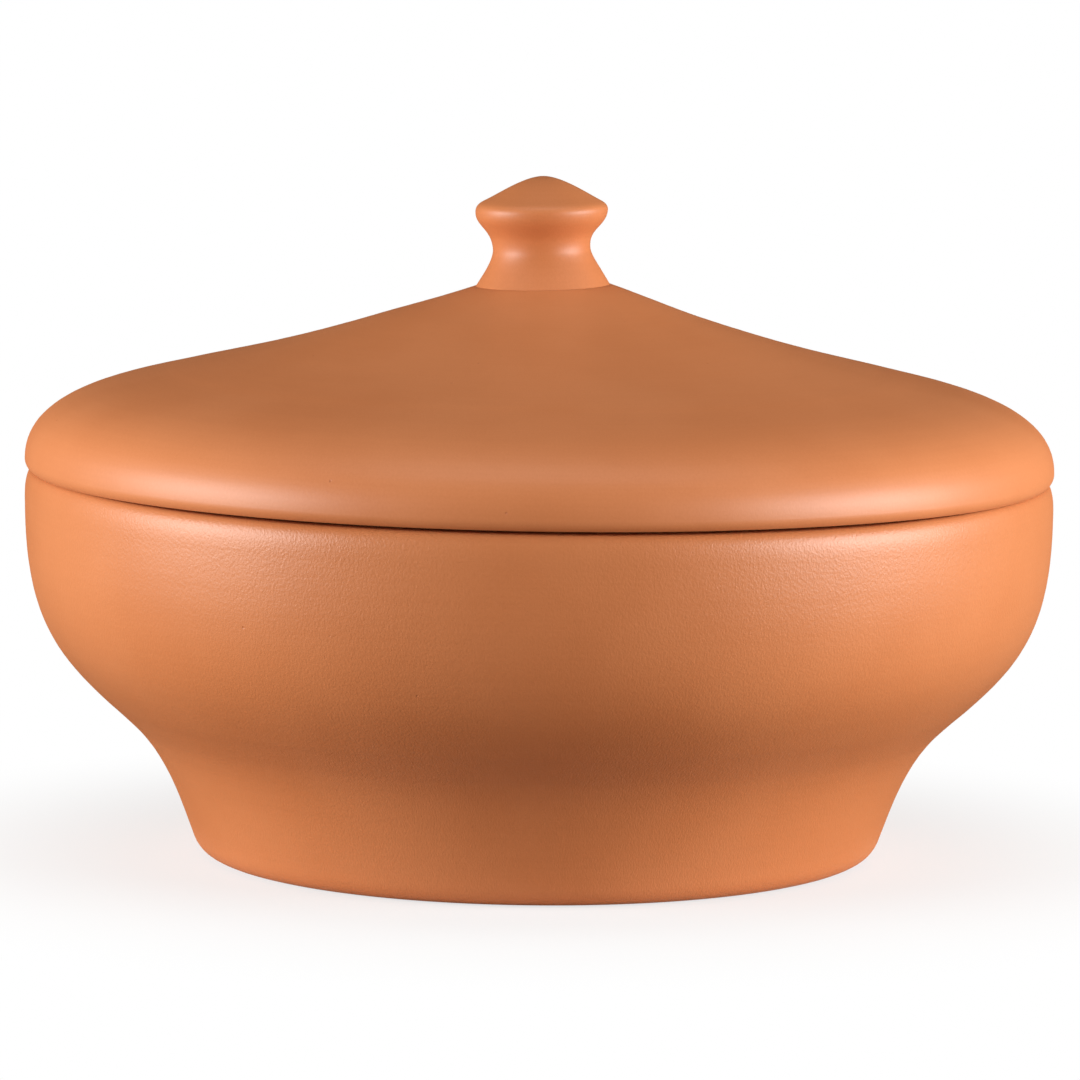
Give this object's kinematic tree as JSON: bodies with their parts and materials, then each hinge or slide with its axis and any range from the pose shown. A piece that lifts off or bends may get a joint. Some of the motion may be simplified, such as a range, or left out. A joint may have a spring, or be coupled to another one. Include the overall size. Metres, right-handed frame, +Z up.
{
  "type": "tagine pot",
  "caption": "Round terracotta cooking pot on a waisted foot, with a loose domed lid whose flange drops into the mouth and a finger knob to lift it by, for braising and serving.",
  "frame": {"origin": "middle of the foot, on the surface that the pot stands on", "axes": "+Z up along the turning axis of the pot, the lid and the knob; the pot is round, so +X and +Y are free, and the picture looks along +Y"},
  "size_m": [0.26, 0.26, 0.1723],
  "materials": {
    "terracotta": "unglazed, burnished to a soft satin"
  },
  "bodies": {
    "pot": {"pot": "terracotta"},
    "lid": {"lid": "terracotta", "lid_knob": "terracotta"}
  },
  "joints": [
    {"name": "lid_lift", "type": "slide", "parent": "pot", "child": "lid", "axis": [0, 0, 1], "range_m": [0, 0.15]}
  ]
}
